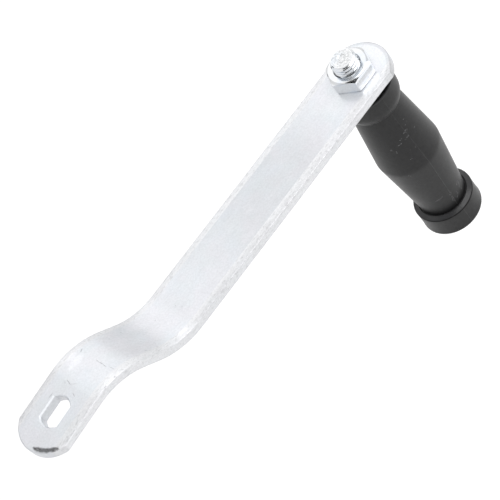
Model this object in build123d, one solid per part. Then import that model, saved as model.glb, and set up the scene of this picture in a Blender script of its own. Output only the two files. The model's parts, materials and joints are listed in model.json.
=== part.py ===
"""Crank handle for a hand winch: a joggled flat steel arm with a double-D drive hole at one end,
and at the other a plastic grip that turns freely on a long hexagon bolt.

The bolt goes through the grip from its far end, screws through the tapped hole in the arm, and a
thin nut on the arm's front locks it.  All lengths are in millimetres.

Frame: the origin is the middle of the drive hole, on the face that meets the winch.  +Z is the
drive axis, out of that face.  +X runs along the arm towards the grip, and the grip hangs below.
"""
import math
import os

from build123d import *

# --- the bar that the arm is made of -------------------------------------------------------
BAR_WIDTH = 30.0
BAR_THICKNESS = 5.0
EDGE_CORNER = 0.9            # radius where a face of the bar turns into its narrow side
ROLL_WIDTH = 4.2             # the faces fall away over this width, from the rolling of the bar
ROLL_DROP = 0.35             # and fall by this much

# --- the shape that the bar is bent to, measured along its middle surface -------------------
DRIVE_MARGIN = 18.9          # drive hole's middle to the tip of the drive end
HOLE_TO_JOGGLE = 26.0        # drive hole's middle to the corner of the first bend
JOGGLE_RUN = 34.5            # corner to corner of the two bends
JOGGLE_ANGLE = 42.5          # slope of the joggle, in degrees from the drive end
LEAN_ANGLE = 4.6             # slope of the long run: the arm leans away from the winch
LONG_RUN = 137.3             # corner of the second bend to the bolt's axis
BOLT_MARGIN = 17.2           # bolt's axis to the tip of the bolt end
BEND_RADIUS = 32.0           # inside radius of both bends
END_RADIUS = 16.5            # both ends are cut to this arc, a little flatter than half the width
END_EDGE = 0.7               # radius that the edges of the cut ends are broken to

# --- double-D drive hole ---------------------------------------------------------------------
DRIVE_HOLE_DIA = 14.1        # across the two round sides, for a shaft of 14 mm
DRIVE_HOLE_FLATS = 10.2      # across the two flats, for a shaft filed to 10 mm
DRIVE_HOLE_CHAMFER = 0.6     # deburring of the front rim; the back rim is left sharp

# --- M12 bolt and thin nut ---------------------------------------------------------------------
BOLT_DIA = 12.0
BOLT_PROJECTION = 12.2       # how far the bolt stands out of the arm's front face
BOLT_TIP_CHAMFER = 1.1
HEX_ACROSS_FLATS = 18.7      # of the nut and of the bolt's head: 19 mm, within its tolerance
HEAD_HEIGHT = 7.5
NUT_HEIGHT = 6.9
NUT_COUNTERSINK = 0.8        # how much wider than the bolt the nut's mouths open, on the radius
HEX_CHAMFER_ANGLE = 30.0     # slope of the turned corners of the nut and the head
HEX_FACE_RATIO = 0.95        # the turned circle on a hexagon's face, as a share of its flats

# --- plastic grip, turned about the bolt ---------------------------------------------------------
GRIP_GAP = 2.3               # arm's back to the grip's top, when the grip rests on the head
RUNNING_CLEARANCE = 0.1      # bolt to bore, on the radius
HEAD_CLEARANCE = 0.1         # bolt's head to the floor of its pocket
POCKET_CLEARANCE = 0.8       # corners of the head to the pocket's wall
POCKET_RIM = 1.0             # how far the head lies inside the grip's end
COLLAR_LENGTH = 13.0
COLLAR_DIA = 28.5            # at the arm, where the collar is straight
COLLAR_STRAIGHT = 6.6        # length of the straight part; below it the collar curves in
COLLAR_BOTTOM_DIA = 25.2     # at the seam with the barrel
COLLAR_EDGE = 0.6
SEAM_STEP = 0.8              # the barrel starts this much inside the collar, on the radius
SEAM_EDGE = 0.3
BARREL_UPPER = 35.2          # seam to the widest ring
BARREL_LOWER = 39.3          # widest ring to the flange
BARREL_MAX_DIA = 31.1
RING_BLEND = 9.0             # radius of the soft turn at the widest ring
NECK_DIA = 22.6
NECK_GROOVE_WIDTH = 1.1      # ring-shaped groove around the neck, cut into the flange's top
NECK_GROOVE_DEPTH = 1.0
FLANGE_LENGTH = 11.7
FLANGE_RIM_DIA = 28.9        # flange, at its upper edge
FLANGE_WAIST_DIA = 28.7      # flange, halfway down
FLANGE_END_DIA = 29.3        # flange, at the grip's end
FLANGE_RIM_EDGE = 0.6
FLANGE_END_EDGE = 1.2

# --- worked out from the sizes above ----------------------------------------------------------------
MIDDLE = BAR_THICKNESS / 2
joggle = math.radians(JOGGLE_ANGLE)
lean = math.radians(LEAN_ANGLE)
along_joggle = Vector(math.cos(joggle), 0, -math.sin(joggle))
along_run = Vector(math.cos(lean), 0, -math.sin(lean))
bolt_up = Vector(math.sin(lean), 0, math.cos(lean))

tip_of_drive_end = Vector(-DRIVE_MARGIN, 0, -MIDDLE)
first_corner = Vector(HOLE_TO_JOGGLE, 0, -MIDDLE)
second_corner = first_corner + along_joggle * JOGGLE_RUN
bolt_on_middle = second_corner + along_run * LONG_RUN
tip_of_bolt_end = bolt_on_middle + along_run * BOLT_MARGIN

# The bolt's own frame: z = 0 on the arm's front face, z along the bolt towards its threaded end.
bolt_frame = Plane(origin=bolt_on_middle + bolt_up * MIDDLE, x_dir=along_run, z_dir=bolt_up)

grip_top = -BAR_THICKNESS - GRIP_GAP
seam_z = grip_top - COLLAR_LENGTH
ring_z = seam_z - BARREL_UPPER
flange_top = ring_z - BARREL_LOWER
grip_end = flange_top - FLANGE_LENGTH
head_end = grip_end + POCKET_RIM
head_seat = head_end + HEAD_HEIGHT
pocket_floor = head_seat + HEAD_CLEARANCE
pocket_radius = HEX_ACROSS_FLATS / math.sqrt(3) + POCKET_CLEARANCE
bore_radius = BOLT_DIA / 2 + RUNNING_CLEARANCE


def bar_section():
    """The bar's cross-section, standing in the YZ plane at the tip of the drive end."""
    side = BAR_WIDTH / 2
    face = BAR_THICKNESS / 2
    flat = side - ROLL_WIDTH
    shoulder_y = side - EDGE_CORNER
    shoulder_z = face - ROLL_DROP
    corner = EDGE_CORNER * (1 - math.sqrt(0.5))
    sag = ROLL_DROP / 4      # the rolled shoulder is an arc that starts along the flat face
    with BuildSketch(Plane(origin=tip_of_drive_end, x_dir=(0, 1, 0), z_dir=(1, 0, 0))) as section:
        with BuildLine():
            Line((0, face), (flat, face))
            ThreePointArc((flat, face), ((flat + shoulder_y) / 2, face - sag),
                          (shoulder_y, shoulder_z))
            ThreePointArc((shoulder_y, shoulder_z),
                          (side - corner, shoulder_z - corner),
                          (side, shoulder_z - EDGE_CORNER))
            Line((side, shoulder_z - EDGE_CORNER), (side, 0))
            mirror(about=Plane.XZ)
            mirror(about=Plane.YZ)
        make_face()
    return section.sketch


def bar_path():
    """The bar's middle line: three straight runs joined by the two bends."""
    return FilletPolyline(tip_of_drive_end, first_corner, second_corner, tip_of_bolt_end,
                          radius=BEND_RADIUS + MIDDLE)


def end_trimmer(end_plane, margin):
    """What has to come off to round an end and break its edges: x points out of the bar."""
    reach = BAR_WIDTH
    inner = END_RADIUS - END_EDGE
    side = MIDDLE - END_EDGE
    bulge = END_EDGE * math.sqrt(0.5)
    profile = [
        Polyline((inner, MIDDLE), (inner, reach), (0, reach), (0, -reach), (inner, -reach),
                 (inner, -MIDDLE)),
        ThreePointArc((inner, -MIDDLE), (inner + bulge, -side - bulge), (END_RADIUS, -side)),
        Line((END_RADIUS, -side), (END_RADIUS, side)),
        ThreePointArc((END_RADIUS, side), (inner + bulge, side + bulge), (inner, MIDDLE)),
    ]
    keep = revolve(Plane.XZ * make_face(profile), Axis.Z)
    waste = Pos(reach, 0, 0) * Box(2 * reach, 2 * reach, 3 * BAR_THICKNESS) - keep
    return end_plane * Pos(margin - END_RADIUS, 0, 0) * waste


def double_d(diameter, flats):
    """A round hole's outline with two flats, parallel to the arm."""
    return Circle(diameter / 2) & Rectangle(2 * diameter, flats)


def make_arm():
    """Steel arm: the bent bar, its two rounded ends, the drive hole and the tapped bolt hole."""
    arm = sweep(bar_section(), path=bar_path())
    drive_plane = Plane(origin=(0, 0, -MIDDLE), x_dir=(-1, 0, 0), z_dir=(0, 0, 1))
    bolt_plane = Plane(origin=bolt_on_middle, x_dir=along_run, z_dir=bolt_up)
    arm -= end_trimmer(drive_plane, DRIVE_MARGIN)
    arm -= end_trimmer(bolt_plane, BOLT_MARGIN)

    hole = double_d(DRIVE_HOLE_DIA, DRIVE_HOLE_FLATS)
    arm -= extrude(hole, amount=2 * BAR_THICKNESS, both=True)
    wide = double_d(DRIVE_HOLE_DIA + 2 * DRIVE_HOLE_CHAMFER,
                    DRIVE_HOLE_FLATS + 2 * DRIVE_HOLE_CHAMFER)
    arm -= loft([wide, Pos(0, 0, -DRIVE_HOLE_CHAMFER) * hole])
    arm -= bolt_frame * Cylinder(BOLT_DIA / 2, 4 * BAR_THICKNESS)
    return arm


def hexagon_blank(height, across_flats):
    """A hexagon of the given height on z = 0 with both ends turned at the corners."""
    outline = RegularPolygon(across_flats / 2, 6, major_radius=False)
    prism = extrude(outline, amount=height)
    corner = across_flats / math.sqrt(3)
    face = across_flats / 2 * HEX_FACE_RATIO
    drop = (corner - face) * math.tan(math.radians(HEX_CHAMFER_ANGLE))
    turned = Polyline((0, 0), (face, 0), (corner, drop), (corner, height - drop),
                      (face, height), (0, height), close=True)
    return prism & revolve(Plane.XZ * make_face(turned), Axis.Z)


def make_nut():
    """Thin lock nut on the arm's front face, with its flats along the arm."""
    nut = hexagon_blank(NUT_HEIGHT, HEX_ACROSS_FLATS)
    nut -= Cylinder(BOLT_DIA / 2, 4 * NUT_HEIGHT)
    wide = BOLT_DIA / 2 + NUT_COUNTERSINK
    top_mouth = Cone(BOLT_DIA / 2, wide, NUT_COUNTERSINK,
                     align=(Align.CENTER, Align.CENTER, Align.MAX))
    bottom_mouth = Cone(wide, BOLT_DIA / 2, NUT_COUNTERSINK,
                        align=(Align.CENTER, Align.CENTER, Align.MIN))
    nut -= Pos(0, 0, NUT_HEIGHT) * top_mouth
    nut -= bottom_mouth
    return bolt_frame * nut


def make_bolt():
    """Hexagon bolt: its head lies in the grip's far end, its tip stands out of the nut."""
    length = BOLT_PROJECTION - head_seat
    shank = Pos(0, 0, head_seat) * Cylinder(BOLT_DIA / 2, length,
                                            align=(Align.CENTER, Align.CENTER, Align.MIN))
    shank = chamfer(shank.edges().group_by(Axis.Z)[-1], BOLT_TIP_CHAMFER)
    head = Pos(0, 0, head_end) * hexagon_blank(HEAD_HEIGHT, HEX_ACROSS_FLATS)
    return bolt_frame * (shank + head)


def grip_outline():
    """Half of the grip's section: radius against height along the bolt."""
    collar = COLLAR_DIA / 2
    collar_foot = COLLAR_BOTTOM_DIA / 2
    neck = NECK_DIA / 2
    rim = FLANGE_RIM_DIA / 2
    end = FLANGE_END_DIA / 2
    curve_start = (collar, grip_top - COLLAR_STRAIGHT)
    curve_end = (collar_foot, seam_z + SEAM_EDGE)
    groove_floor = flange_top - NECK_GROOVE_DEPTH
    half = make_face([
        Polyline((bore_radius, grip_top), (collar - COLLAR_EDGE, grip_top),
                 (collar, grip_top - COLLAR_EDGE), curve_start),
        TangentArc(curve_start, curve_end, tangent=(0, -1)),
        Polyline(curve_end, (collar_foot - SEAM_STEP, seam_z), (BARREL_MAX_DIA / 2, ring_z),
                 (neck, flange_top), (neck, groove_floor),
                 (neck + NECK_GROOVE_WIDTH, groove_floor),
                 (neck + NECK_GROOVE_WIDTH, flange_top), (rim, flange_top)),
        ThreePointArc((rim, flange_top), (FLANGE_WAIST_DIA / 2, flange_top - FLANGE_LENGTH / 2),
                      (end, grip_end)),
        Polyline((end, grip_end), (pocket_radius, grip_end), (pocket_radius, pocket_floor),
                 (bore_radius, pocket_floor), (bore_radius, grip_top)),
    ])

    def corner(radius, height):
        return half.vertices().sort_by_distance((radius, height))[0]

    half = fillet(corner(BARREL_MAX_DIA / 2, ring_z), RING_BLEND)
    half = fillet(corner(rim, flange_top), FLANGE_RIM_EDGE)
    return fillet(corner(end, grip_end), FLANGE_END_EDGE)


def make_grip():
    """Moulded grip: collar, barrel with its widest ring a little past the middle, and flange."""
    return bolt_frame * revolve(Plane.XZ * grip_outline(), Axis.Z)


parts = {
    "arm": make_arm(),
    "bolt": make_bolt(),
    "lock_nut": make_nut(),
    "grip": make_grip(),
}

os.makedirs("parts", exist_ok=True)
for name, part in parts.items():
    part.label = name
    export_step(part, os.path.join("parts", name + ".step"))
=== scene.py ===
"""Looks of a hand-winch crank: a joggled plated arm, a lock nut, a long bolt and a turning grip.

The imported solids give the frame.  The arm keeps its own mesh; the nut, the bolt and the grip are
made here as finer surfaces in the places of their solids.  Sizes are in millimetres where a
name's comment says so, and every mesh is in metres.
"""

import json
import math

import bmesh
import bpy
import numpy as np
from mathutils import Matrix, Vector


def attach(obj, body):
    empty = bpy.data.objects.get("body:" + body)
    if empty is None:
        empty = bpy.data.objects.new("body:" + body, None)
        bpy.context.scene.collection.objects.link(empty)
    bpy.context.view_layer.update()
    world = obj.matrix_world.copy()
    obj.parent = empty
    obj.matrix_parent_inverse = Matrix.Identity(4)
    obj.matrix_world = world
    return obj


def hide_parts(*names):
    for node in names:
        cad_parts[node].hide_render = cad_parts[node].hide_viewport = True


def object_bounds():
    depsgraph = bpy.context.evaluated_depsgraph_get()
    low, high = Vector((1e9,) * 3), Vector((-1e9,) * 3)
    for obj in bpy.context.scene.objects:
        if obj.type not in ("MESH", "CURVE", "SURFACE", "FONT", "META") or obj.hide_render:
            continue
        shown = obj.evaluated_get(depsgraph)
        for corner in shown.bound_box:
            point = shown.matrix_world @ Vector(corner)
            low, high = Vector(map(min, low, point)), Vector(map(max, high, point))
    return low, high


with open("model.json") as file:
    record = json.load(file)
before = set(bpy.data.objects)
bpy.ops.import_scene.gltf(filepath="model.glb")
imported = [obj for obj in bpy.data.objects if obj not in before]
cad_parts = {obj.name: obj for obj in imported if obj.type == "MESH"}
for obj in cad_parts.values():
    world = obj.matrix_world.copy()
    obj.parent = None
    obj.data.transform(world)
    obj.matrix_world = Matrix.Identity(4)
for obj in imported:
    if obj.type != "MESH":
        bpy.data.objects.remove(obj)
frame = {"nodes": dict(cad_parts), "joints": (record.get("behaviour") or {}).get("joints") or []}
cad_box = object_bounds()
MM = 0.001

# === Arm ===========================================================================================
# A length of hot-rolled flat steel bar, cut to an arc at both ends, bent twice and zinc plated.
# The drive hole is punched and deburred from the front.  The bar keeps its rolled, slightly
# uneven skin under the plating, and small nicks where the bending tools held it.

PLATE_GREY = (0.663, 0.676, 0.704, 1.0)
PLATE_BLUE = (0.653, 0.677, 0.712, 1.0)
PLATE_GREEN = (0.643, 0.682, 0.698, 1.0)
PLATE_ROSE = (0.678, 0.673, 0.706, 1.0)
PLATE_EDGE = (0.676, 0.676, 0.684, 1.0)
PLATE_METALLIC = 0.72
BLACK_MARK_DARK = (0.075, 0.076, 0.078, 1.0)
BLACK_MARK_PALE = (0.30, 0.30, 0.31, 1.0)
NICK_COLOUR = (0.12, 0.12, 0.13, 1.0)


def add(tree, kind, inputs=None, **settings):
    """A new node.  Inputs are given by name or number: a socket is linked, a value is set."""
    made = tree.nodes.new(kind)
    for name, value in settings.items():
        setattr(made, name, value)
    for key, value in (inputs or {}).items():
        if isinstance(value, bpy.types.NodeSocket):
            tree.links.new(value, made.inputs[key])
        else:
            made.inputs[key].default_value = value
    return made


def maths(tree, operation, *values, clamp=False):
    """The result of a Math node on the given sockets or numbers."""
    inputs = dict(enumerate(values))
    return add(tree, "ShaderNodeMath", inputs, operation=operation, use_clamp=clamp).outputs[0]


def vectors(tree, operation, *values):
    """The Vector Math node for the given sockets or triples."""
    return add(tree, "ShaderNodeVectorMath", dict(enumerate(values)), operation=operation)


def ramp(tree, value, low, high):
    """A smooth step: 0 where the value is below low, 1 where it is above high."""
    inputs = {"Value": value, "From Min": low, "From Max": high}
    return add(tree, "ShaderNodeMapRange", inputs, interpolation_type="SMOOTHSTEP").outputs[0]


def blend_colour(tree, share, first, second):
    """First where share is 0 and second where it is 1."""
    made = add(tree, "ShaderNodeMix", {0: share, 6: first, 7: second}, data_type="RGBA")
    return made.outputs[2]


def new_group(name, inputs, outputs):
    """An empty shader group and its two end nodes.  Sockets are (name, FLOAT, VECTOR or RGBA)."""
    group = bpy.data.node_groups.new(name, "ShaderNodeTree")
    kinds = {"FLOAT": "NodeSocketFloat", "VECTOR": "NodeSocketVector", "RGBA": "NodeSocketColor"}
    for label, kind in inputs:
        group.interface.new_socket(label, in_out="INPUT", socket_type=kinds[kind])
    for label, kind in outputs:
        group.interface.new_socket(label, in_out="OUTPUT", socket_type=kinds[kind])
    return group, group.nodes.new("NodeGroupInput"), group.nodes.new("NodeGroupOutput")


def use_group(tree, group, inputs):
    """A group placed in a tree with its own values."""
    made = tree.nodes.new("ShaderNodeGroup")
    made.node_tree = group
    for key, value in inputs.items():
        if isinstance(value, bpy.types.NodeSocket):
            tree.links.new(value, made.inputs[key])
        else:
            made.inputs[key].default_value = value
    return made


def noise(tree, place, size, detail=3.0, roughness=0.55):
    """Noise of about 0 to 1 whose lumps are the given size, in the units of the place."""
    inputs = {"Vector": place, "Scale": 1.0 / size, "Detail": detail, "Roughness": roughness}
    return add(tree, "ShaderNodeTexNoise", inputs, noise_dimensions="3D").outputs["Fac"]


def new_material(name):
    """A material with a Principled shader, its tree, and the place on the piece in millimetres."""
    material = bpy.data.materials.new(name)
    material.use_nodes = True
    tree = material.node_tree
    shader = tree.nodes["Principled BSDF"]
    place = add(tree, "ShaderNodeTexCoord").outputs["Object"]
    place = add(tree, "ShaderNodeMapping", {"Vector": place, "Scale": (1 / MM, 1 / MM, 1 / MM)})
    return material, tree, shader, place.outputs["Vector"]


def make_plating_group():
    """Zinc plating: soft clouds, streaks along the bar, a fine grain, and three tint shares."""
    group, start, end = new_group(
        "zinc_plating",
        [("Place", "VECTOR"), ("Cloud Size", "FLOAT"), ("Grain Size", "FLOAT")],
        [("Cloud", "FLOAT"), ("Streak", "FLOAT"), ("Grain", "FLOAT"),
         ("Tint 1", "FLOAT"), ("Tint 2", "FLOAT"), ("Tint 3", "FLOAT")])
    place = start.outputs["Place"]

    def sized(size, detail, stretch=(1.0, 1.0, 1.0)):
        """A noise node whose lumps are the given size, drawn out where the stretch is small."""
        divided = vectors(group, "SCALE", vectors(group, "MULTIPLY", place, stretch).outputs[0])
        group.links.new(maths(group, "DIVIDE", 1.0, size), divided.inputs["Scale"])
        inputs = {"Vector": divided.outputs[0], "Scale": 1.0, "Detail": detail}
        return add(group, "ShaderNodeTexNoise", inputs)

    cloud_size = start.outputs["Cloud Size"]
    grain_size = start.outputs["Grain Size"]
    streak_size = maths(group, "MULTIPLY", grain_size, 1.6)
    tint_size = maths(group, "MULTIPLY", cloud_size, 1.3)
    group.links.new(sized(cloud_size, 4.0).outputs["Fac"], end.inputs["Cloud"])
    streaks = sized(streak_size, 4.0, (0.08, 1.0, 1.0)).outputs["Fac"]
    group.links.new(streaks, end.inputs["Streak"])
    group.links.new(sized(grain_size, 4.0).outputs["Fac"], end.inputs["Grain"])
    tints = add(group, "ShaderNodeSeparateColor", {0: sized(tint_size, 3.0).outputs["Color"]})
    for number in range(3):
        share = ramp(group, tints.outputs[number], 0.42, 0.66)
        group.links.new(share, end.inputs["Tint " + str(number + 1)])
    return group


def make_stroke_group():
    """A straight stroke: how far a place lies from a segment, against a width that tapers."""
    group, start, end = new_group(
        "stroke", [("Place", "VECTOR"), ("From", "VECTOR"), ("To", "VECTOR"), ("Width", "FLOAT")],
        [("Mask", "FLOAT")])
    along = vectors(group, "SUBTRACT", start.outputs["To"], start.outputs["From"]).outputs[0]
    offset = vectors(group, "SUBTRACT", start.outputs["Place"], start.outputs["From"]).outputs[0]
    share = maths(group, "DIVIDE", vectors(group, "DOT_PRODUCT", offset, along).outputs["Value"],
                  vectors(group, "DOT_PRODUCT", along, along).outputs["Value"], clamp=True)
    nearest = vectors(group, "SCALE", along)
    group.links.new(share, nearest.inputs["Scale"])
    away = vectors(group, "SUBTRACT", offset, nearest.outputs[0]).outputs[0]
    distance = vectors(group, "LENGTH", away).outputs["Value"]
    middle = maths(group, "MULTIPLY", share, maths(group, "SUBTRACT", 1.0, share))
    width = maths(group, "MULTIPLY", start.outputs["Width"],
                  maths(group, "MULTIPLY_ADD", middle, 3.0, 0.25))
    mask = maths(group, "SUBTRACT", 1.0, maths(group, "DIVIDE", distance, width), clamp=True)
    group.links.new(ramp(group, mask, 0.0, 0.7), end.inputs["Mask"])
    return group


plating = make_plating_group()
stroke = make_stroke_group()


def strokes(tree, place, marks):
    """The strongest of several strokes, each (from, to, width) in millimetres."""
    total = None
    for first, last, width in marks:
        made = use_group(tree, stroke, {"Place": place, "From": first, "To": last, "Width": width})
        mask = made.outputs["Mask"]
        total = mask if total is None else maths(tree, "MAXIMUM", total, mask)
    return total


# The black mark is a curved dark patch near the drive end's tip: part of a circle, given by its
# centre, radius and the direction of its middle, in the arm's frame.
BLACK_MARK_CENTRE = (1.6, 0.3, 0.0)
BLACK_MARK_RADIUS = 18.8
BLACK_MARK_MIDDLE = (-0.902, -0.431, 0.0)
BLACK_MARK_HALF_WIDTH = 0.90
BLACK_MARK_REACH = 0.930         # cosine of the angle from its middle to its ends
BLACK_MARK_FADE = (-0.9, -0.4)   # mm below the front face: gone at the first, full at the second

FAR_END = 205.6              # mm along the arm from the hole to the far end's tip
END_RADIUS = 16.5            # of the arc that both ends are cut to
SHOULDER = 11.1              # mm from the bar's middle line to where its rolled edges begin
ARRIS = 14.5                 # and to the middle of its rounded corners
BAR_HALF_WIDTH = 15.0
END_CENTRE = (FAR_END - END_RADIUS, 0.0, 0.0)
SHEARED_BAND = 1.6           # mm in from the far end's outline where the shears drew it down: painted shade
# The arm is toned by place as well: this band and the near shoulder carry painted shade, and both
# ends painted light, in place of the plating's own tone.
SHADE_BAND_REACH = (65.0, 125.0, 142.0, 174.0)    # mm along the arm: painted shade from, fully, until, to
HOLE_RADIUS = 7.05
HOLE_HALF_WIDTH = 5.1

# Nicks and pressed lines from the bending tools, as from, to and width.
NICKS = [
    ((26.0, 9.2, -2.5), (27.6, 10.2, -3.2), 0.42),
    ((26.6, -0.1, -2.8), (26.3, -2.5, -2.7), 0.18),
    ((26.4, -2.2, -2.7), (26.5, -4.6, -2.7), 0.32),
    ((26.5, -4.3, -2.7), (26.2, -7.2, -2.6), 0.26),
    ((26.9, -8.1, -2.9), (27.2, -10.8, -3.0), 0.18),
    ((40.6, -10.0, -12.6), (41.7, -10.9, -13.6), 0.30),
    ((13.2, 4.2, 0.0), (12.3, 1.2, 0.0), 0.30),
    ((12.2, 4.7, 0.0), (11.4, 3.8, 0.0), 0.20),
    ((12.4, 1.6, 0.0), (14.9, -3.4, 0.0), 0.12),
    ((10.0, -2.4, 0.0), (9.1, -4.5, 0.0), 0.26),
    ((54.3, 2.9, -22.0), (55.0, 3.3, -22.6), 0.22),
    ((64.2, 0.2, -24.3), (64.8, 0.8, -24.5), 0.24),
    ((3.0, 7.0, 0.0), (5.6, 6.6, 0.0), 0.22),
    ((25.1, -14.0, -2.6), (24.0, -14.3, -2.2), 0.40),
    ((19.7, -14.4, -1.2), (18.0, -14.4, -0.9), 0.40),
]

# Painted highlights on the bends, given the same way.
PAINTED_HIGHLIGHTS = [
    ((17.0, 6.4, -0.4), (25.6, 7.6, -2.4), 3.4),
    ((20.0, 10.5, -0.8), (25.0, 10.8, -2.2), 2.0),
    ((53.5, -12.4, -21.9), (58.6, -12.6, -23.6), 1.6),
]


def black_mark_mask(tree, place):
    """1 in the curved black mark, whose outline is ragged and tapers to both ends.

    It is on the front only, so the mask fades out going down the bar's thickness.
    """
    offset = vectors(tree, "SUBTRACT", place, BLACK_MARK_CENTRE).outputs[0]
    reach = vectors(tree, "LENGTH", offset).outputs["Value"]
    heading = vectors(tree, "DOT_PRODUCT", vectors(tree, "NORMALIZE", offset).outputs[0],
                      BLACK_MARK_MIDDLE).outputs["Value"]
    ragged = maths(tree, "MULTIPLY_ADD", noise(tree, place, 1.1), 1.3, -0.65)
    off_line = maths(tree, "ABSOLUTE", maths(tree, "SUBTRACT", reach, BLACK_MARK_RADIUS))
    taper = maths(tree, "POWER", ramp(tree, heading, BLACK_MARK_REACH, 0.985), 0.6)
    half_width = maths(tree, "MULTIPLY", BLACK_MARK_HALF_WIDTH, taper)
    inside = maths(tree, "SUBTRACT", half_width, maths(tree, "ADD", off_line, ragged))
    mask = maths(tree, "MULTIPLY", ramp(tree, inside, -0.45, 0.45), ramp(tree, taper, 0.0, 0.2))
    height = add(tree, "ShaderNodeSeparateXYZ", {0: place}).outputs["Z"]
    return maths(tree, "MULTIPLY", mask, ramp(tree, height, *BLACK_MARK_FADE))


def plate_colour(tree, plate):
    """The plating's grey with its blue, green and rose parts, lighter and darker by its noises."""
    colour = blend_colour(tree, plate.outputs["Tint 1"], PLATE_GREY, PLATE_BLUE)
    for tint, share, shade in (("Tint 2", 0.4, PLATE_GREEN), ("Tint 3", 0.6, PLATE_ROSE)):
        part = maths(tree, "MULTIPLY", plate.outputs[tint], share)
        colour = blend_colour(tree, part, colour, shade)
    return colour


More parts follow.
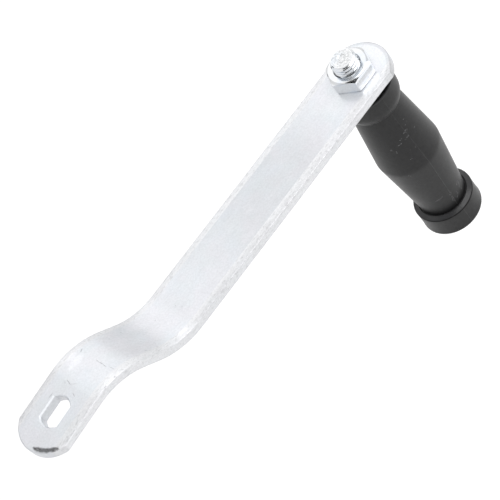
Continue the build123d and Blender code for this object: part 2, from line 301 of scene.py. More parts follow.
def make_arm_material():
    """Zinc plate over the rolled skin, with worn shoulders, a black mark, nicks, a bright deburred
    rim with a painted highlight, and painted light and shade by place along the arm.
    """
    material, tree, shader, place = new_material("zinc_plated_bar")
    plate = use_group(tree, plating, {"Place": place, "Cloud Size": 9.0, "Grain Size": 0.8})
    cloud = plate.outputs["Cloud"]
    streak = plate.outputs["Streak"]
    grain = plate.outputs["Grain"]
    speckle = noise(tree, place, 0.42, detail=4.0, roughness=0.7)
    drawn_out = vectors(tree, "MULTIPLY", place, (0.4, 1.0, 1.0)).outputs[0]
    flecks = ramp(tree, noise(tree, drawn_out, 1.0, detail=4.0, roughness=0.65), 0.50, 0.68)

    where = add(tree, "ShaderNodeSeparateXYZ", {0: place})
    off_middle = maths(tree, "ABSOLUTE", where.outputs["Y"])
    shoulder = ramp(tree, off_middle, SHOULDER - 0.1, SHOULDER + 0.3)
    side = ramp(tree, off_middle, BAR_HALF_WIDTH - 0.25, BAR_HALF_WIDTH - 0.02)
    off_arris = maths(tree, "ABSOLUTE", maths(tree, "SUBTRACT", off_middle, ARRIS))
    arris = maths(tree, "SUBTRACT", 1.0, ramp(tree, off_arris, 0.10, 0.40))
    arris = maths(tree, "MULTIPLY", arris, ramp(tree, speckle, 0.40, 0.62))
    flat_way = vectors(tree, "LENGTH", vectors(tree, "MULTIPLY", place, (1, 1, 0)).outputs[0])
    off_hole = maths(tree, "MAXIMUM",
                     maths(tree, "SUBTRACT", flat_way.outputs["Value"], HOLE_RADIUS),
                     maths(tree, "SUBTRACT", off_middle, HOLE_HALF_WIDTH))
    deburred_rim_highlight = maths(tree, "SUBTRACT", 1.0, ramp(tree, off_hole, 0.55, 0.80))
    wall = maths(tree, "SUBTRACT", 1.0, ramp(tree, off_hole, 0.02, 0.12))
    deburred_rim_highlight = maths(tree, "SUBTRACT", deburred_rim_highlight, wall)

    tone = maths(tree, "MULTIPLY_ADD", cloud, 0.16, 0.92)
    tone = maths(tree, "MULTIPLY", tone, maths(tree, "MULTIPLY_ADD", grain, 0.30, 0.85))
    tone = maths(tree, "MULTIPLY", tone, maths(tree, "MULTIPLY_ADD", streak, 0.08, 0.96))
    along = where.outputs["X"]
    # Painted shade: a band along the arm is darker, but not its shoulders.
    painted_shade_band = maths(tree, "SUBTRACT", ramp(tree, along, *SHADE_BAND_REACH[:2]),
                 ramp(tree, along, *SHADE_BAND_REACH[2:]))
    painted_shade_band = maths(tree, "MULTIPLY", painted_shade_band, maths(tree, "SUBTRACT", 1.0, shoulder))
    tone = maths(tree, "MULTIPLY", tone, maths(tree, "MULTIPLY_ADD", painted_shade_band, -0.12, 1.0))
    worn = maths(tree, "MULTIPLY_ADD", flecks, -0.18,
                 maths(tree, "MULTIPLY_ADD", speckle, 0.40, -0.14))
    # Painted shade on the near shoulder, fading in from 45 to 75 mm along; a touch lighter before
    # that.
    near_shoulder_shade = maths(tree, "MULTIPLY", where.outputs["Y"], -1.0)
    near_shoulder_shade = maths(tree, "SUBTRACT", ramp(tree, near_shoulder_shade, SHOULDER, ARRIS), side, clamp=True)
    near_shoulder_shade = maths(tree, "MULTIPLY", near_shoulder_shade,
                      maths(tree, "MULTIPLY_ADD", ramp(tree, along, 45.0, 75.0), -0.16, 0.02))
    tone = maths(tree, "ADD", near_shoulder_shade, tone)
    # Painted light: lighter towards the far end.
    tone = maths(tree, "MULTIPLY_ADD", ramp(tree, along, 180.0, 200.0), 0.10, tone)
    off_end = vectors(tree, "MULTIPLY", vectors(tree, "SUBTRACT", place, END_CENTRE).outputs[0],
                      (1, 1, 0)).outputs[0]
    off_end = maths(tree, "SUBTRACT", END_RADIUS, vectors(tree, "LENGTH", off_end).outputs["Value"])
    # Painted shade along the far end's drawn-down edge.
    sheared_edge_shade = maths(tree, "MULTIPLY", ramp(tree, off_end, SHEARED_BAND + 0.4, SHEARED_BAND - 0.3),
                    ramp(tree, along, END_CENTRE[0] + 2.0, END_CENTRE[0] + 4.0))
    tone = maths(tree, "MULTIPLY_ADD", sheared_edge_shade, -0.16, tone)
    # Painted light: lighter towards the drive end.
    tone = maths(tree, "MULTIPLY_ADD", ramp(tree, along, 35.0, 10.0), 0.04, tone)
    # Painted highlights on the bends.
    tone = maths(tree, "MULTIPLY_ADD", strokes(tree, place, PAINTED_HIGHLIGHTS), 0.08, tone)
    tone = maths(tree, "MULTIPLY_ADD", maths(tree, "MULTIPLY", shoulder, worn), tone, tone)
    tone = maths(tree, "MULTIPLY_ADD", arris, -0.12, tone)
    # The deburred rim is lighter: bright metal with a painted highlight.
    tone = maths(tree, "MULTIPLY_ADD", deburred_rim_highlight, 0.16, tone)
    # Painted light: the narrow sides are lighter.
    tone = maths(tree, "MULTIPLY_ADD", side, 0.09, tone)
    # Painted shade on the hole's wall.
    tone = maths(tree, "MULTIPLY_ADD", wall, -0.05, tone)
    bare = maths(tree, "MULTIPLY", maths(tree, "MAXIMUM", shoulder, side), 0.6)
    toned = vectors(tree, "SCALE", blend_colour(tree, bare, plate_colour(tree, plate), PLATE_EDGE))
    tree.links.new(tone, toned.inputs["Scale"])

    black_mark = black_mark_mask(tree, place)
    nicks = strokes(tree, place, NICKS)
    black_mark_colour = blend_colour(tree, ramp(tree, speckle, 0.46, 0.70), BLACK_MARK_DARK, BLACK_MARK_PALE)
    marked = maths(tree, "MULTIPLY", nicks, maths(tree, "MULTIPLY_ADD", speckle, 1.2, -0.18))
    marked = blend_colour(tree, marked, toned.outputs[0], NICK_COLOUR)
    black_mark_strength = maths(tree, "MULTIPLY_ADD", ramp(tree, speckle, 0.66, 0.46), 0.30, 0.70)
    marked = blend_colour(tree, maths(tree, "MULTIPLY", black_mark, black_mark_strength), marked, black_mark_colour)
    tree.links.new(marked, shader.inputs["Base Color"])
    metallic = maths(tree, "MULTIPLY", PLATE_METALLIC, maths(tree, "SUBTRACT", 1.0, black_mark))
    tree.links.new(metallic, shader.inputs["Metallic"])
    gloss = maths(tree, "MULTIPLY_ADD", cloud, 0.16, 0.20)
    gloss = maths(tree, "MULTIPLY_ADD", grain, 0.08, gloss)
    gloss = maths(tree, "MULTIPLY_ADD", shoulder, 0.05, gloss)
    tree.links.new(maths(tree, "MULTIPLY_ADD", black_mark, 0.3, gloss), shader.inputs["Roughness"])

    skin = maths(tree, "MULTIPLY_ADD", grain, 0.03, maths(tree, "MULTIPLY", cloud, 0.16))
    skin = maths(tree, "MULTIPLY_ADD", streak, 0.03, skin)
    skin = maths(tree, "MULTIPLY_ADD", maths(tree, "MULTIPLY", speckle, shoulder), 0.03, skin)
    skin = maths(tree, "MULTIPLY_ADD", arris, -0.05, skin)
    skin = maths(tree, "MULTIPLY_ADD", maths(tree, "MAXIMUM", nicks, black_mark), -0.08, skin)
    bump = add(tree, "ShaderNodeBump", {"Height": skin, "Strength": 0.5, "Distance": MM})
    tree.links.new(bump.outputs["Normal"], shader.inputs["Normal"])
    return material


def wear_material(thing, material):
    """The thing shows only this material."""
    thing.data.materials.clear()
    thing.data.materials.append(material)


arm = frame["nodes"]["arm"]
arm_material = make_arm_material()
for place_in_list in range(len(arm.material_slots)):
    arm.material_slots[place_in_list].material = arm_material

# === Lock nut ======================================================================================
# A thin M12 hexagon nut, cold formed and bright zinc plated.  It is screwed down on the arm's
# front with its flats along the arm, and its corners and mouths are turned.

NUT_ACROSS_FLATS = 18.7      # mm, as are all the sizes below
NUT_HEIGHT = 6.9
NUT_FACE_RATIO = 0.95
NUT_CORNER_SLOPE = math.radians(30)
NUT_CORNER_RADIUS = 0.35
NUT_FOOT_CHAMFER = 0.4       # share of the top's chamfer that the underside has
NUT_MOUTH = 0.5
NUT_EDGE = 0.18
THREAD_RADIUS = 6.0
BOLT_TIP = 12.2              # above the arm's front face
MERGE_DISTANCE = 1e-7        # m; places nearer than this are one
ZINC_COLOUR = (0.80, 0.81, 0.82, 1.0)
ZINC_TINT = (0.75, 0.785, 0.83, 1.0)

spin = frame["joints"][0]
bolt_origin = np.array(spin["pos_m"])
bolt_axis = np.array(spin["axis"])
bolt_x = np.array([bolt_axis[2], 0.0, -bolt_axis[0]])
bolt_y = np.cross(bolt_axis, bolt_x)


def about_bolt(radius, angle, height):
    """Places in metres: out from the bolt's axis, turned from the arm's direction, and along."""
    out = np.cos(angle)[..., None] * bolt_x + np.sin(angle)[..., None] * bolt_y
    return bolt_origin + MM * (radius[..., None] * out + height[..., None] * bolt_axis)


def hexagon_angles(fine):
    """Angles round a hexagon, closer together at its corners, which lie at 0, 60, 120 ..."""
    half = 30.0 * fine ** 1.6
    sector = np.concatenate([-half[:0:-1], half[:-1]])
    return np.radians((np.arange(6)[:, None] * 60.0 + sector).ravel())


def hexagon_radius(angle, across_flats, corner):
    """Distance to a hexagon's outline: the flat's, or near a corner that of the corner's arc."""
    inner = across_flats / 2
    from_corner = np.abs((angle + math.pi / 6) % (math.pi / 3) - math.pi / 6)
    flat = inner / np.cos(math.pi / 6 - from_corner)
    middle = (inner - corner) / math.cos(math.pi / 6)
    under_root = np.maximum(corner ** 2 - (middle * np.sin(from_corner)) ** 2, 0.0)
    rounded = middle * np.cos(from_corner) + np.sqrt(under_root)
    turn = math.atan2(corner / 2, middle + corner * math.cos(math.pi / 6))
    return np.where(from_corner < turn, rounded, flat)


def turned_mesh(name, radius, height, angle, ring):
    """A surface about the bolt's axis from rows of radius and height at each angle.

    Each row runs once round the axis.  With ring, the last row joins the first; otherwise the
    surface ends in its first and last rows, which have no radius and close as poles.
    """
    rows, columns = radius.shape
    places = about_bolt(radius, np.broadcast_to(angle, radius.shape), height)
    row = np.arange(rows if ring else rows - 1)[:, None]
    column = np.arange(columns)[None, :]
    below = (row + 1) % rows
    beside = (column + 1) % columns
    faces = np.stack([row * columns + column, row * columns + beside,
                      below * columns + beside, below * columns + column], axis=-1)
    return place_mesh(name, places.reshape(-1, 3), faces.reshape(-1, 4))


def place_mesh(name, places, faces):
    """An object from places and four-sided faces, with doubles merged and faces outward."""
    mesh = bpy.data.meshes.new(name)
    mesh.from_pydata(places.tolist(), [], faces.tolist())
    clean = bmesh.new()
    clean.from_mesh(mesh)
    bmesh.ops.remove_doubles(clean, verts=clean.verts, dist=MERGE_DISTANCE)
    bmesh.ops.dissolve_degenerate(clean, edges=clean.edges, dist=MERGE_DISTANCE)
    bmesh.ops.recalc_face_normals(clean, faces=clean.faces)
    clean.to_mesh(mesh)
    clean.free()
    mesh.update()
    made = bpy.data.objects.new(name, mesh)
    bpy.context.scene.collection.objects.link(made)
    return made


def finish_shading(thing, sharpest):
    """Smooth shading, but for edges that turn by more than the given angle."""
    thing.data.polygons.foreach_set("use_smooth", [True] * len(thing.data.polygons))
    thing.data.set_sharp_from_angle(angle=math.radians(sharpest))


def break_edges(thing, width, sharpest):
    """A small round on every edge that turns by more than the given angle."""
    bevel = thing.modifiers.new("broken_edges", "BEVEL")
    bevel.width = width * MM
    bevel.segments = 3
    bevel.limit_method = "ANGLE"
    bevel.angle_limit = math.radians(sharpest)
    bevel.use_clamp_overlap = True


def nut_rows(angle):
    """The nut's rows, up its bore, over its top, down its sides and back under it."""
    outline = hexagon_radius(angle, NUT_ACROSS_FLATS, NUT_CORNER_RADIUS)
    face = NUT_ACROSS_FLATS / 2 * NUT_FACE_RATIO
    drop = (outline - face) * math.tan(NUT_CORNER_SLOPE)
    level = np.ones_like(angle)
    bore = THREAD_RADIUS * level
    mouth = (THREAD_RADIUS + NUT_MOUTH) * level
    top = NUT_HEIGHT
    steps = np.linspace(0, 1, 7)[1:-1]
    rows = [(bore, NUT_MOUTH * level), (bore, (top - NUT_MOUTH) * level), (mouth, top * level),
            (face * level, top * level), (outline, top - drop)]
    rows += [(outline, (top - drop) * (1 - s) + NUT_FOOT_CHAMFER * drop * s) for s in steps]
    foot = NUT_FOOT_CHAMFER * (outline - face)
    rows += [(outline, NUT_FOOT_CHAMFER * drop), (outline - foot, 0 * level), (mouth, 0 * level)]
    return np.array([r for r, _ in rows]), np.array([z for _, z in rows])


def along_bolt(tree, place):
    """The way from the bolt's origin to the place, and how far up the bolt's axis it goes."""
    offset = vectors(tree, "SUBTRACT", place, tuple(bolt_origin / MM)).outputs[0]
    return offset, vectors(tree, "DOT_PRODUCT", offset, tuple(bolt_axis)).outputs["Value"]


def make_zinc_material():
    """Bright zinc: smooth, faintly cloudy, bluish in places, darker over the nut's top and the bolt
    above it, and matt on the bolt's cut end.
    """
    material, tree, shader, place = new_material("bright_zinc")
    plate = use_group(tree, plating, {"Place": place, "Cloud Size": 4.0, "Grain Size": 0.3})
    colour = blend_colour(tree, plate.outputs["Tint 1"], ZINC_COLOUR, ZINC_TINT)
    offset, along = along_bolt(tree, place)
    outward = vectors(tree, "CROSS_PRODUCT", offset, tuple(bolt_axis)).outputs[0]
    outward = vectors(tree, "LENGTH", outward).outputs["Value"]
    cut_end = maths(tree, "MULTIPLY", ramp(tree, along, BOLT_TIP - 0.60, BOLT_TIP - 0.45),
                    ramp(tree, outward, 4.8, 4.65))
    # Darker over the nut's top and, by less, over the bolt above it.
    turned = maths(tree, "MULTIPLY_ADD", ramp(tree, along, NUT_HEIGHT + 0.2, NUT_HEIGHT + 0.5),
                   -0.45, ramp(tree, along, NUT_HEIGHT - 1.0, NUT_HEIGHT - 0.4))
    mottled = noise(tree, place, 0.9, detail=3.0)
    tone = maths(tree, "MULTIPLY_ADD", plate.outputs["Cloud"], 0.12, 1.08)
    tone = maths(tree, "MULTIPLY_ADD", turned, -0.28, tone)
    tone = maths(tree, "MULTIPLY_ADD", cut_end,
                 maths(tree, "MULTIPLY_ADD", mottled, 0.9, -0.67), tone)
    toned = vectors(tree, "SCALE", colour)
    tree.links.new(tone, toned.inputs["Scale"])
    tree.links.new(toned.outputs[0], shader.inputs["Base Color"])
    shader.inputs["Metallic"].default_value = 1.0
    gloss = maths(tree, "MULTIPLY_ADD", plate.outputs["Cloud"], 0.10, 0.04)
    gloss = maths(tree, "MULTIPLY_ADD", plate.outputs["Grain"], 0.08, gloss)
    tree.links.new(maths(tree, "MULTIPLY_ADD", cut_end, 0.12, gloss), shader.inputs["Roughness"])
    skin = maths(tree, "MULTIPLY_ADD", plate.outputs["Grain"], 0.02,
                 maths(tree, "MULTIPLY", plate.outputs["Cloud"], 0.12))
    bump = add(tree, "ShaderNodeBump", {"Height": skin, "Strength": 0.35, "Distance": MM})
    tree.links.new(bump.outputs["Normal"], shader.inputs["Normal"])
    return material


around_nut = hexagon_angles(np.linspace(0, 1, 13))
nut_radius, nut_height = nut_rows(around_nut)
nut = turned_mesh("lock_nut_turned", nut_radius, nut_height, around_nut, ring=True)
break_edges(nut, NUT_EDGE, 20)
finish_shading(nut, 60)
bright_zinc = make_zinc_material()
wear_material(nut, bright_zinc)
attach(nut, "crank")
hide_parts("lock_nut")

# === Bolt ==========================================================================================
# An M12 hexagon bolt, 110 mm under its head, with a rolled thread on its last 30 mm.  It comes up
# through the grip, is screwed through the arm and carries the nut.  Rolling leaves a small
# cup in its end, inside a chamfer.

PITCH = 1.75                 # mm, as are all the sizes below
THREAD_DEPTH = 1.0
TIP_CHAMFER = 1.1
TIP_CUP_DEPTH = 0.35
TIP_CUP_RADIUS = 2.6
TIP_FLAT_RADII = (3.4, 4.2)  # rows on the flat round the cup
TIP_EDGE = 0.12
THREAD_PLAY = 0.03           # how far the crests lie inside the nut's bore
HEAD_EDGE = 0.4
THREAD_LENGTH = 30.0
SHANK_RADIUS = 5.95
HEAD_SEAT = -98.0
HEAD_HEIGHT = 7.5
HEAD_FILLET = 0.2            # under the head; it has to clear the mouth of the grip's bore
ROWS_PER_TURN = 16
WASHER_FACE_RATIO = 0.90


def thread_rise(share):
    """Height of an M thread over one pitch, 0 at the root and 1 at the crest.

    The root takes a quarter of the pitch, the crest an eighth, and the flanks are straight; the
    corners are eased by a smooth step.
    """
    slope = 0.3125
    up = np.clip((share - 0.125) / slope, 0, 1)
    down = np.clip((0.875 - share) / slope, 0, 1)
    rise = np.minimum(up, down)
    return 0.75 * rise + 0.25 * rise * rise * (3 - 2 * rise)


def bolt_rows(angle):
    """The bolt's rows: cupped tip, helical thread, plain shank and hexagon head.

    A thread row climbs one pitch in a turn, so that crests lie along the rows.  Rows past either
    end of the thread are held at that end.
    """
    level = np.ones_like(angle)
    rows = []
    for r in np.append(np.linspace(0, TIP_CUP_RADIUS, 10), TIP_FLAT_RADII):
        share = min(2.0 * max(1.0 - r / TIP_CUP_RADIUS, 0.0), 1.0)
        deep = TIP_CUP_DEPTH * share * share * (3 - 2 * share)
        rows.append((r * level, (BOLT_TIP - deep) * level))
    rows.append(((THREAD_RADIUS - TIP_CHAMFER) * level - TIP_EDGE, BOLT_TIP * level))
    turns = THREAD_LENGTH / PITCH
    count = int(round((turns + 1) * ROWS_PER_TURN))
    step = np.arange(count + 1)[:, None] / ROWS_PER_TURN
    climbing = BOLT_TIP + PITCH * (angle[None, :] / (2 * math.pi)) - step * PITCH
    bottom = BOLT_TIP - THREAD_LENGTH
    height = np.clip(climbing, bottom, BOLT_TIP)
    share = np.broadcast_to(step % 1.0, climbing.shape)
    cut = THREAD_DEPTH * (1 - thread_rise(share))
    run_out = np.clip((height - bottom) / (1.5 * PITCH), 0, 1)
    radius = THREAD_RADIUS - THREAD_PLAY - cut * run_out
    chamfered = THREAD_RADIUS - TIP_CHAMFER + (BOLT_TIP - height)
    radius = np.minimum(radius, chamfered)
    rows += list(zip(radius, height))
    rows.append((SHANK_RADIUS * level, (bottom - 0.4) * level))
    rows.append((SHANK_RADIUS * level, (HEAD_SEAT + HEAD_FILLET) * level))
    rows.append(((SHANK_RADIUS + HEAD_FILLET) * level, HEAD_SEAT * level))
    outline = hexagon_radius(angle, NUT_ACROSS_FLATS, NUT_CORNER_RADIUS)
    face = NUT_ACROSS_FLATS / 2 * NUT_FACE_RATIO
    drop = (outline - face) * math.tan(NUT_CORNER_SLOPE)
    end = HEAD_SEAT - HEAD_HEIGHT
    rows += [(NUT_ACROSS_FLATS / 2 * WASHER_FACE_RATIO * level, HEAD_SEAT * level),
             (outline, (HEAD_SEAT - HEAD_EDGE) * level), (outline, end + drop),
             (face * level, end * level), (0 * level, end * level)]
    return np.array([r for r, _ in rows]), np.array([z for _, z in rows])


around_bolt = hexagon_angles(np.linspace(0, 1, 11))
bolt_radius, bolt_height = bolt_rows(around_bolt)
bolt = turned_mesh("bolt_threaded", bolt_radius, bolt_height, around_bolt, ring=False)
finish_shading(bolt, 40)
wear_material(bolt, bright_zinc)
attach(bolt, "crank")
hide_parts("bolt")

# === Grip ==========================================================================================
# One black plastic moulding that turns on the bolt: a collar, a barrel with its widest ring past
# the middle, and a flange with a groove around the neck.  The mould's halves part along its length.

GRIP_TOP = -7.3              # mm from the arm's front face, as are all the heights below
COLLAR_RADIUS = 14.25
COLLAR_STRAIGHT = 6.6
COLLAR_FOOT = 12.6
SEAM = -20.3
SEAM_STEP = 0.8
RING = -55.5
RING_RADIUS = 15.55
FLANGE_TOP = -94.8
NECK_RADIUS = 11.3
GROOVE_WIDTH = 0.6
GROOVE_FLOOR = -94.5
FLANGE_CREST = -93.9         # the flange's top falls from here at the groove to its rim
FLANGE_RIM = -94.95
RIM_RADIUS = 14.45
WAIST_RADIUS = 14.35
GRIP_END_RADIUS = 14.65
GRIP_END = -106.5
BORE_RADIUS = 6.1
POCKET_RADIUS = 11.6
POCKET_FLOOR = -97.9
PARTING_ANGLES = np.radians([-98.0, 82.0])
PARTING_RISE = 0.09
PARTING_WIDTH = 0.18


def rounded_outline(corners, spacing):
    """A closed outline through corners of (radius, height, round), as points.

    Each corner is cut back along both of its sides by the round times the tangent of half its
    turn, and an arc of that round joins the two cuts.  Straight stretches are divided evenly.
    """
    corners = np.array(corners, float)
    points = corners[:, :2]
    before = np.roll(points, 1, axis=0) - points
    after = np.roll(points, -1, axis=0) - points
    before /= np.linalg.norm(before, axis=1)[:, None]
    after /= np.linalg.norm(after, axis=1)[:, None]
    pieces = []
    for point, back, ahead, size in zip(points, before, after, corners[:, 2]):
        turn = math.pi - math.acos(np.clip(back @ ahead, -1, 1))
        if size == 0 or turn < 1e-6:
            pieces.append(point[None])
            continue
        cut = size * math.tan(turn / 2)
        middle = point + (back + ahead) / np.linalg.norm(back + ahead) * size / math.cos(turn / 2)
        count = max(3, int(math.degrees(turn) / 11) + 1)
        share = np.linspace(0, 1, count)[:, None]
        chord = (point + back * cut) * (1 - share) + (point + ahead * cut) * share - middle
        pieces.append(middle + chord / np.linalg.norm(chord, axis=1)[:, None] * size)
    outline = []
    for piece, following in zip(pieces, pieces[1:] + pieces[:1]):
        outline.append(piece)
        gap = np.linalg.norm(following[0] - piece[-1])
        share = np.linspace(0, 1, max(1, int(gap / spacing)) + 1)[1:-1, None]
        outline.append(piece[-1] * (1 - share) + following[0] * share)
    return np.concatenate(outline)


def grip_corners():
    """Corners of half the grip's section, down its outside and back up its bore."""
    curve_start = GRIP_TOP - COLLAR_STRAIGHT
    curve_end = SEAM + 0.3
    fall = curve_start - curve_end
    inward = COLLAR_RADIUS - COLLAR_FOOT
    bow = (fall ** 2 + inward ** 2) / (2 * inward)
    down = np.linspace(0, fall, 9)
    collar = [(COLLAR_RADIUS - bow + math.sqrt(bow ** 2 - d ** 2), curve_start - d, 0.0)
              for d in down[:-1]]
    length = FLANGE_TOP - GRIP_END
    waist = [(WAIST_RADIUS + (RIM_RADIUS - WAIST_RADIUS) * (1 - 2 * s) ** 2 * (1 + 0.7 * s),
              FLANGE_TOP - s * length, 0.0) for s in np.linspace(0.2, 0.82, 7)]
    return [
        (BORE_RADIUS, GRIP_TOP, 0.3), (COLLAR_RADIUS, GRIP_TOP, 0.6), *collar,
        (COLLAR_FOOT, curve_end, 0.12), (COLLAR_FOOT - SEAM_STEP, SEAM, 0.08),
        (RING_RADIUS, RING, 9.0), (NECK_RADIUS, GROOVE_FLOOR, 0.2),
        (NECK_RADIUS + GROOVE_WIDTH, GROOVE_FLOOR, 0.2),
        (NECK_RADIUS + GROOVE_WIDTH, FLANGE_CREST, 0.25),
        (RIM_RADIUS, FLANGE_RIM, 0.4), *waist,
        (GRIP_END_RADIUS, GRIP_END, 1.2), (POCKET_RADIUS, GRIP_END, 0.4),
        (POCKET_RADIUS, POCKET_FLOOR, 0.4), (BORE_RADIUS, POCKET_FLOOR, 0.3),
    ]


def grip_angles():
    """Even steps round the grip, and fine ones across both parting lines."""
    even = np.linspace(-math.pi, math.pi, 193)[:-1]
    fine = np.radians(np.linspace(-2.4, 2.4, 17))
    near = PARTING_ANGLES[:, None] + fine
    apart = np.abs((even[:, None] - PARTING_ANGLES[None, :] + math.pi) % (2 * math.pi) - math.pi)
    kept = even[apart.min(axis=1) > math.radians(3.0)]
    return np.sort(np.concatenate([kept, near.ravel()]))


def grip_mesh():
    """The outline turned about the bolt, with a low ridge along each parting line."""
    outline = rounded_outline(grip_corners(), 1.6)
    angle = grip_angles()
    radius = np.repeat(outline[:, :1], len(angle), axis=1)
    height = np.repeat(outline[:, 1:], len(angle), axis=1)
    across = (angle[:, None] - PARTING_ANGLES + math.pi) % (2 * math.pi) - math.pi
    across = np.abs(across).min(axis=1)[None, :] * radius
    outside = (radius > NECK_RADIUS - 0.2) & (height < GRIP_TOP - 0.3) & (height > GRIP_END + 0.6)
    outside &= ~((radius < POCKET_RADIUS + 0.5) & (height < POCKET_FLOOR + 0.5))
    radius = radius + outside * PARTING_RISE * np.exp(-(across / PARTING_WIDTH) ** 2)
    return turned_mesh("grip_moulding", radius, height, angle, ring=True)


PLASTIC_COLOUR = (0.006, 0.006, 0.0064, 1.0)
SCUFF_COLOUR = (0.17, 0.17, 0.175, 1.0)
WEAR_AND_SHEEN_COLOUR = (0.034, 0.034, 0.036, 1.0)

SCUFF_WANDER = 3.2           # mm that the scuffs stray from straight, and over what length
SCUFF_WANDER_SIZE = 1.6
SCUFF_WIDENING = 1.7         # makes up for the width that the straying costs

# Scuffs on the side of the grip, as height, angle in degrees, length, lean from the grip's
# length in degrees, and width.
SCUFFS = [
    (-33.9, -100, 2.0, 60, 0.45), (-33.4, -95, 2.6, 78, 0.30), (-36.3, -98, 1.4, 30, 0.45),
    (-36.6, -101, 2.6, 78, 0.32), (-36.3, -79, 1.8, 60, 0.30), (-35.6, -116, 1.6, 75, 0.40),
    (-37.4, -120, 2.0, 70, 0.34), (-39.1, -138, 2.4, 72, 0.42), (-40.6, -133, 1.6, 40, 0.34),
    (-44.0, -100, 1.8, 15, 0.36), (-43.0, -112, 1.3, 60, 0.28), (-48.2, -118, 1.6, 70, 0.26),
    (-51.5, -112, 1.2, 50, 0.26), (-56.8, -138, 1.8, 70, 0.28), (-28.5, -84, 1.6, 70, 0.28),
    (-30.8, -88, 3.0, 80, 0.26), (-82.4, -123, 4.4, 74, 0.50), (-86.6, -98.6, 9.0, 1, 0.36),
    (-87.9, -84, 3.4, 34, 0.34), (-86.0, -68, 4.6, 12, 0.50), (-84.2, -74, 3.0, 30, 0.36),
    (-90.0, -88, 2.6, 35, 0.30), (-90.6, -66, 3.0, 10, 0.34), (-9.6, -96.5, 3.0, 8, 0.26),
]


def scuff_ends(height, angle, length, lean, width):
    """The two ends of a scuff on the barrel and its width, in millimetres in the frame."""
    lower = np.interp(height, [FLANGE_TOP, RING, SEAM],
                      [NECK_RADIUS, RING_RADIUS, COLLAR_FOOT - SEAM_STEP])
    along = length / 2 * math.cos(math.radians(lean))
    across = length / 2 * math.sin(math.radians(lean)) / lower
    ends = about_bolt(np.full(2, lower), math.radians(angle) + np.array([-across, across]),
                      height + np.array([-along, along]))
    return tuple(ends[0] / MM), tuple(ends[1] / MM), width * SCUFF_WIDENING


def ring_line(tree, along, height, half_width):
    """1 in a narrow ring at a height along the bolt, 0 away from it."""
    off = maths(tree, "ABSOLUTE", maths(tree, "SUBTRACT", along, height))
    return maths(tree, "SUBTRACT", 1.0, ramp(tree, off, half_width * 0.4, half_width))


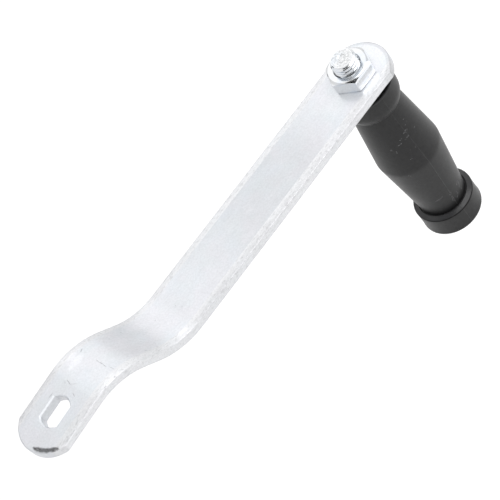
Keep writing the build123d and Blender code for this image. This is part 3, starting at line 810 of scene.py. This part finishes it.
def make_plastic_material():
    """Black moulded plastic: satin and finely grained, paler where the parting line, the grip's end
    and the sides rub, with painted highlights on the collar's rims and a painted sheen on the
    flange's top.
    """
    material, tree, shader, place = new_material("black_moulded_plastic")
    crooked = add(tree, "ShaderNodeTexNoise", {"Vector": place, "Scale": 1.0 / SCUFF_WANDER_SIZE,
                                               "Detail": 2.0}).outputs["Color"]
    crooked = vectors(tree, "SUBTRACT", crooked, (0.5, 0.5, 0.5)).outputs[0]
    crooked = vectors(tree, "MULTIPLY", crooked, (SCUFF_WANDER,) * 3).outputs[0]
    crooked = vectors(tree, "ADD", place, crooked).outputs[0]
    scuffs = strokes(tree, crooked, [scuff_ends(*mark) for mark in SCUFFS])
    fine = noise(tree, place, 0.5, detail=4.0)
    scuffs = maths(tree, "MULTIPLY", scuffs, ramp(tree, fine, 0.38, 0.60))
    handled = noise(tree, place, 9.0)
    specks = maths(tree, "MULTIPLY", ramp(tree, fine, 0.60, 0.72), ramp(tree, handled, 0.45, 0.6))

    offset, along = along_bolt(tree, place)
    parting = PARTING_ANGLES[0]
    across = tuple(math.cos(parting) * bolt_y - math.sin(parting) * bolt_x)
    off_parting = maths(tree, "ABSOLUTE",
                        vectors(tree, "DOT_PRODUCT", offset, across).outputs["Value"])
    worn = maths(tree, "SUBTRACT", 1.0, ramp(tree, off_parting, 0.06, 0.26))
    worn = maths(tree, "MULTIPLY", worn, ramp(tree, noise(tree, place, 3.0), 0.30, 0.60))
    fading = maths(tree, "SUBTRACT", ramp(tree, along, -25.0, -85.0),
                   ramp(tree, along, -92.0, -94.0))
    worn = maths(tree, "MULTIPLY", worn, maths(tree, "MULTIPLY_ADD", fading, 0.7, 0.3))
    # Paler rings: painted highlights along the collar's top rim and its lower edge at the seam, and a
    # paler ring near the grip's end.
    for height, half_width, share in ((GRIP_TOP - 0.55, 0.45, 0.55), (SEAM + 0.30, 0.40, 0.8),
                                      (GRIP_END + 0.8, 0.6, 0.3)):
        ring = ring_line(tree, along, height, half_width)
        worn = maths(tree, "MAXIMUM", worn, maths(tree, "MULTIPLY", ring, share))

    outward = vectors(tree, "CROSS_PRODUCT", offset, tuple(bolt_axis)).outputs[0]
    outward = vectors(tree, "LENGTH", outward).outputs["Value"]
    # The flange's top face is paler: painted sheen and wear.
    crest_radius = NECK_RADIUS + GROOVE_WIDTH
    flange_face = maths(tree, "MULTIPLY", ramp(tree, along, FLANGE_RIM, FLANGE_RIM + 0.2),
                        ramp(tree, along, FLANGE_CREST + 0.2, FLANGE_CREST + 0.1))
    flange_face = maths(tree, "MULTIPLY", flange_face,
                        ramp(tree, outward, crest_radius, crest_radius + 0.2))
    worn = maths(tree, "MAXIMUM", worn, flange_face)
    rim_line = ring_line(tree, along, FLANGE_RIM - 0.25, 0.40)

    base = vectors(tree, "SCALE", PLASTIC_COLOUR[:3])
    tree.links.new(maths(tree, "MULTIPLY_ADD", handled, 0.8, 0.6), base.inputs["Scale"])
    colour = blend_colour(tree, worn, base.outputs[0], WEAR_AND_SHEEN_COLOUR)
    pale = maths(tree, "MAXIMUM", maths(tree, "MULTIPLY", scuffs, 0.65),
                 maths(tree, "MULTIPLY", specks, 0.13))
    colour = blend_colour(tree, pale, colour, SCUFF_COLOUR)
    tree.links.new(colour, shader.inputs["Base Color"])
    haze = noise(tree, place, 1.5, detail=5.0, roughness=0.65)
    shine = maths(tree, "MULTIPLY_ADD", haze, 0.24, 0.26)
    shine = maths(tree, "MULTIPLY_ADD", rim_line, -0.30, shine)
    under_collar = maths(tree, "SUBTRACT", ramp(tree, along, SEAM + 0.4, SEAM + 1.2),
                         ramp(tree, along, SEAM + 3.0, SEAM + 7.0))
    shine = maths(tree, "MULTIPLY_ADD", under_collar, -0.10, shine)
    tree.links.new(shine, shader.inputs["Specular IOR Level"])
    gloss = maths(tree, "MULTIPLY_ADD", handled, 0.14, 0.33)
    gloss = maths(tree, "MULTIPLY_ADD", flange_face, -0.20, gloss)
    tree.links.new(maths(tree, "MULTIPLY_ADD", scuffs, 0.15, gloss), shader.inputs["Roughness"])
    grain = noise(tree, place, 0.28, detail=2.0)
    skin = maths(tree, "MULTIPLY_ADD", scuffs, -0.04, maths(tree, "MULTIPLY", grain, 0.04))
    skin = maths(tree, "MULTIPLY_ADD", handled, 0.10, skin)
    bump = add(tree, "ShaderNodeBump", {"Height": skin, "Strength": 0.5, "Distance": MM})
    tree.links.new(bump.outputs["Normal"], shader.inputs["Normal"])
    return material


grip = grip_mesh()
finish_shading(grip, 35)
wear_material(grip, make_plastic_material())
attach(grip, "handgrip")
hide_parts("grip")

# === Floor, light and camera =======================================================================
# A pale floor below the crank, a white surround, large soft lamps, and the camera.

FLOOR_DROP = 0.05            # m below the crank's lowest point
FLOOR_HALF = 3.0
FLOOR_COLOUR = (0.86, 0.86, 0.86, 1.0)
FLOOR_GLOW = 0.37
KEY_DIRECTION = (0.42, 0.64, 0.64)
KEY_DISTANCE = 1.0
KEY_SIZE = 0.9
KEY_GLOW = 0.45
FRONT_DIRECTION = (-0.25, -0.85, 0.45)
FRONT_DISTANCE = 1.3
FRONT_SIZE = 0.9
FRONT_GLOW = 0.6
TOP_DIRECTION = (0.44, -0.24, 0.86)
TOP_DISTANCE = 1.0
TOP_SIZE = 0.85
TOP_GLOW = 1.7
OVERHEAD_FLAG = ((-0.13, 0.05, 0.63), (0.27, -0.28, 0.80), 0.15)
BACK_FLAG = ((-0.75, 1.05, 0.20), (0.05, 1.15, 0.20), 0.30)
SURROUND_FILL = 0.55
CAMERA_PLACE = (-0.03195, -0.71587, 0.76060)
CAMERA_AHEAD = (0.1243, 0.6599, -0.7410)
CAMERA_RIGHT = (0.5590, -0.6635, -0.4973)
LENS = 185.6
SENSOR = 36.0
FRAME_SHIFT = 0.001


def seen_or_mirrored(tree):
    """1 for rays from the camera or off glossy and clear surfaces, 0 for diffuse light."""
    path = add(tree, "ShaderNodeLightPath")
    seen = maths(tree, "MAXIMUM", path.outputs["Is Camera Ray"], path.outputs["Is Glossy Ray"])
    return maths(tree, "MAXIMUM", seen, path.outputs["Is Transmission Ray"])


def make_floor():
    """A level square, a little brighter to the eye than its light makes it."""
    level = cad_box[0][2] - FLOOR_DROP
    corners = [(-1, -1), (1, -1), (1, 1), (-1, 1)]
    mesh = bpy.data.meshes.new("floor")
    mesh.from_pydata([(x * FLOOR_HALF, y * FLOOR_HALF, level) for x, y in corners], [],
                     [(0, 1, 2, 3)])
    floor = bpy.data.objects.new("floor", mesh)
    bpy.context.scene.collection.objects.link(floor)
    material, tree, shader, _ = new_material("floor_white")
    shader.inputs["Base Color"].default_value = FLOOR_COLOUR
    shader.inputs["Roughness"].default_value = 1.0
    shader.inputs["Emission Color"].default_value = (1.0, 1.0, 1.0, 1.0)
    glow = maths(tree, "MULTIPLY", seen_or_mirrored(tree), FLOOR_GLOW)
    tree.links.new(glow, shader.inputs["Emission Strength"])
    mesh.materials.append(material)


def make_surround():
    """White all round; it lights the crank more gently than it shows."""
    world = bpy.data.worlds.new("surround")
    bpy.context.scene.world = world
    world.use_nodes = True
    tree = world.node_tree
    back = tree.nodes["Background"]
    back.inputs["Color"].default_value = (1.0, 1.0, 1.0, 1.0)
    strength = maths(tree, "MULTIPLY_ADD", seen_or_mirrored(tree), 1.0 - SURROUND_FILL,
                     SURROUND_FILL)
    tree.links.new(strength, back.inputs["Strength"])


def add_lamp(name, place, aim, size, glow):
    """A square soft lamp at a place, turned to its aim; its face is glow times as bright as white."""
    data = bpy.data.lights.new(name, "AREA")
    data.shape = "SQUARE"
    data.size = size
    data.energy = glow * math.pi * size ** 2
    lamp = bpy.data.objects.new(name, data)
    bpy.context.scene.collection.objects.link(lamp)
    lamp.location = place
    lamp.rotation_euler = (Vector(aim) - Vector(place)).to_track_quat("-Z", "Y").to_euler()


def add_flag(name, ends, width, aim):
    """A black strip between two places, facing its aim, that darkens what mirrors it."""
    first, last = Vector(ends[0]), Vector(ends[1])
    side = (last - first).cross(Vector(aim) - first).normalized() * width / 2
    mesh = bpy.data.meshes.new(name)
    mesh.from_pydata([first - side, last - side, last + side, first + side], [], [(0, 1, 2, 3)])
    flag = bpy.data.objects.new(name, mesh)
    bpy.context.scene.collection.objects.link(flag)
    material, _, shader, _ = new_material(name)
    shader.inputs["Base Color"].default_value = (0.0, 0.0, 0.0, 1.0)
    shader.inputs["Specular IOR Level"].default_value = 0.0
    mesh.materials.append(material)
    flag.visible_camera = False
    flag.visible_diffuse = False


def make_camera():
    """A long lens, placed by its axes: right, up and back."""
    data = bpy.data.cameras.new("camera")
    data.sensor_width = SENSOR
    data.lens = LENS
    data.shift_x = -FRAME_SHIFT
    data.shift_y = FRAME_SHIFT
    camera = bpy.data.objects.new("camera", data)
    bpy.context.scene.collection.objects.link(camera)
    ahead = Vector(CAMERA_AHEAD).normalized()
    right = Vector(CAMERA_RIGHT).normalized()
    up = right.cross(ahead)
    turn = Matrix((right, up, -ahead)).transposed()
    camera.matrix_world = Matrix.Translation(CAMERA_PLACE) @ turn.to_4x4()
    bpy.context.scene.camera = camera


middle = (cad_box[0] + cad_box[1]) / 2
make_floor()
make_surround()
key_place = middle + KEY_DISTANCE * Vector(KEY_DIRECTION).normalized()
add_lamp("key", key_place, middle, KEY_SIZE, KEY_GLOW)
front_place = middle + FRONT_DISTANCE * Vector(FRONT_DIRECTION).normalized()
add_lamp("front", front_place, middle, FRONT_SIZE, FRONT_GLOW)
top_place = middle + TOP_DISTANCE * Vector(TOP_DIRECTION).normalized()
add_lamp("top", top_place, middle, TOP_SIZE, TOP_GLOW)
for flag_name, flag in (("overhead_flag", OVERHEAD_FLAG), ("back_flag", BACK_FLAG)):
    add_flag(flag_name, flag[:2], flag[2], middle)
make_camera()

bpy.context.scene.view_settings.view_transform = "Standard"
